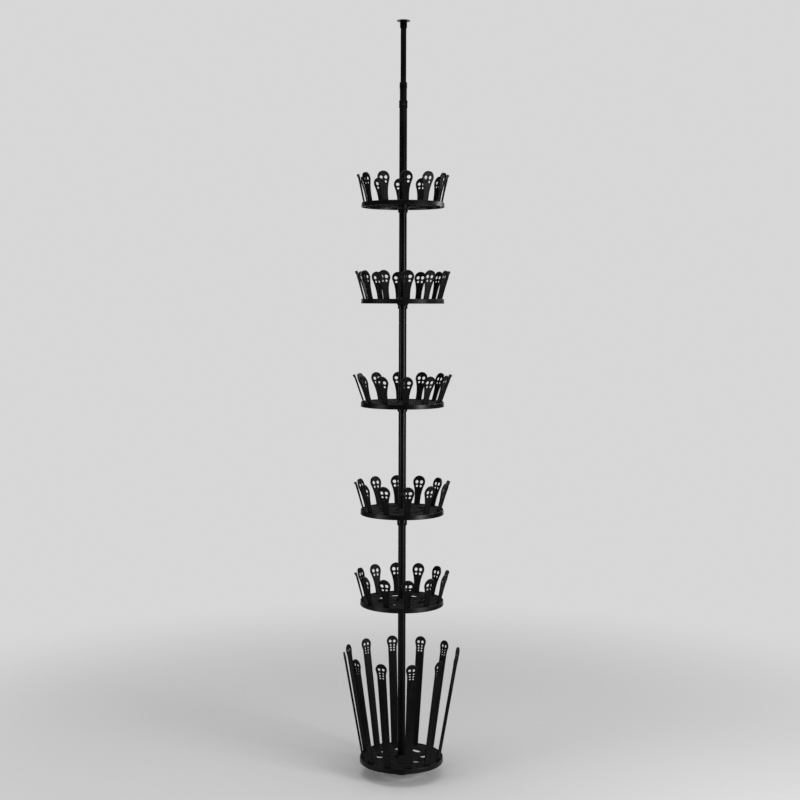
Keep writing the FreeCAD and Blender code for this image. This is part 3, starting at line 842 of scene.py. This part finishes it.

# %% [markdown]
# The curtain is nearly black, with the light and shade of folds that run from top to bottom painted into
# its colour. The boards are wood brown, darkened by painted shade close to the tower and paled by
# painted light further out, where the room is lit. A rim mirrors what lies in front of it: the lowest
# one the near boards, the next ones the far boards, and the upper ones the curtain. So this one blend
# keeps the lowest rim deep black and lets the ones above it catch some light.

# %% Curtain and boards
ROOM_RADIUS = 6.0
CURTAIN_HEIGHT = 7.0
CLOTH_FOLD_SHADE = (0.012, 0.012, 0.013, 1)
CLOTH_FOLD_LIGHT = (0.03, 0.03, 0.032, 1)
BOARDS_START = 0.32
BOARDS_HEIGHT = 0.002
BOARDS_IN_PAINTED_SHADE = ((0.11, 0.085, 0.06, 1), (0.16, 0.12, 0.085, 1))
BOARDS_IN_PAINTED_LIGHT = ((0.46, 0.44, 0.40, 1), (0.58, 0.56, 0.52, 1))
LIT_START = 0.8
LIT_STOP = 1.8


def dark_cloth():
    """Dull cloth, with the light and shade of upright folds painted into its colour."""
    cloth = Finish("dark cloth")
    painted_fold_shade = noise(cloth, 0.15, detail=2.0, draw=(1.0, 1.0, 40.0))
    # Painted shade and light: the folds exist only as darker and greyer streaks in the cloth's colour.
    cloth.use(base_color=blend(cloth, painted_fold_shade, CLOTH_FOLD_SHADE, CLOTH_FOLD_LIGHT), roughness=0.9)
    return cloth.material


def brown_boards():
    """Wood-brown boards, darkened by painted shade close to the tower and paled by painted light further
    out.
    """
    boards = Finish("brown boards")
    grain = noise(boards, 0.05, detail=4.0, draw=(20.0, 1.0, 1.0))
    length = boards.node("ShaderNodeVectorMath", {0: boards.place}, operation="LENGTH").outputs["Value"]
    # Painted shade near the tower and painted light further out, blended by the distance from the pole.
    near = blend(boards, grain, *BOARDS_IN_PAINTED_SHADE)
    far = blend(boards, grain, *BOARDS_IN_PAINTED_LIGHT)
    lit = spread(boards, length, start=LIT_START, stop=LIT_STOP)
    boards.use(base_color=blend(boards, lit, near, far), roughness=0.6)
    return boards.material


sides = [
    room_side("curtain", (ROOM_RADIUS, 0.0), (ROOM_RADIUS, CURTAIN_HEIGHT), dark_cloth()),
    room_side("boards", (BOARDS_START, BOARDS_HEIGHT), (ROOM_RADIUS, BOARDS_HEIGHT), brown_boards()),
]
print("the room's viewer side:", ", ".join(side.name for side in sides))

# %% [markdown]
# ## Lamps
#
# On black, a lamp is seen as its own reflection. A tall key lamp to the right and front draws the
# line down the tubes and the glow on the rims, and a weaker fill lamp to the left draws its twin.
# Where a lamp stands decides where the line falls: the surface that faces half way between lamp and
# viewer catches it. A soft lamp overhead lays the shadow under the lowest tray, and a small high one
# behind and to the right puts the sparkle on the right end of the top tray's rim. The camera sees none
# of the lamps themselves.

# %% Lamps
MIDDLE_OF_POLE = 1.25


def lamp(name, angle, distance, height, width, tall, power, aim=MIDDLE_OF_POLE):
    """Area lamp at this angle to the right of the viewer, in degrees, and aimed at the pole."""
    light = bpy.data.lights.new(name, "AREA")
    light.shape = "RECTANGLE"
    light.size = width
    light.size_y = tall
    light.energy = power
    holder = put(name, light)
    turn = math.radians(angle)
    holder.location = (distance * math.sin(turn), -distance * math.cos(turn), height)
    look = Vector((0, 0, aim)) - holder.location
    holder.rotation_euler = look.to_track_quat("-Z", "Y").to_euler()
    holder.visible_camera = False
    return holder


lamps = [
    lamp("key", angle=52.0, distance=3.4, height=1.18, width=1.1, tall=1.4, power=82.0),
    lamp("fill", angle=-62.0, distance=3.6, height=0.95, width=1.3, tall=1.2, power=31.0),
    lamp("overhead", angle=-20.0, distance=0.6, height=4.2, width=2.2, tall=2.2, power=40.0, aim=0.0),
    lamp("sparkle", angle=122.0, distance=2.6, height=2.44, width=0.6, tall=0.35, power=27.0, aim=1.8),
]
print("lamps:", ", ".join(f"{holder.name} {holder.data.energy:.0f} W" for holder in lamps))

# %% [markdown]
# The small lamp would also draw a bright thread down the edge of the upper tube, which is too thin to
# render cleanly. Light linking keeps it off the tubes: only the pieces in the lamp's receiver collection
# are lit by it. Those are the pieces named after a tier, which are the trays, the blades, lips and marks
# on them, and the stop rings under them.

# %% Keep the sparkle on the trays
sparkle_pieces = bpy.data.collections.new("sparkle pieces")
for piece in bpy.data.objects:
    if piece.name.startswith("tier_"):
        sparkle_pieces.objects.link(piece)
lamps[-1].light_linking.receiver_collection = sparkle_pieces

# %% [markdown]
# ## Camera
#
# The viewer stands about 4.4 m away and looks straight ahead from eye height, so the pole stays upright
# and the trays open up the lower they hang. A level camera keeps the verticals parallel. Instead of
# tilting it to bring the foot into the frame, the lens is shifted down, as an architect's lens is. It is
# rolled by a sixth of a degree, as a camera held by hand is.

# %% Camera
FRAME_PIXELS = 800
FOCAL_PIXELS = 1350.0
HORIZON_PIXEL = 300.5
SENSOR = 36.0
VIEWER = (-0.0088, -4.3929, 1.5387)
ROLL = 0.003

eye = bpy.data.cameras.new("camera")
eye.sensor_width = SENSOR
eye.lens = FOCAL_PIXELS / FRAME_PIXELS * SENSOR
eye.shift_y = (HORIZON_PIXEL - FRAME_PIXELS / 2) / FRAME_PIXELS
camera = put("camera", eye)
camera.location = VIEWER
camera.rotation_euler = (math.pi / 2, -ROLL, 0)
bpy.context.scene.camera = camera
bpy.context.scene.view_settings.view_transform = "Standard"
print(f"lens {eye.lens:.2f} mm, shift {eye.shift_y:.4f}")
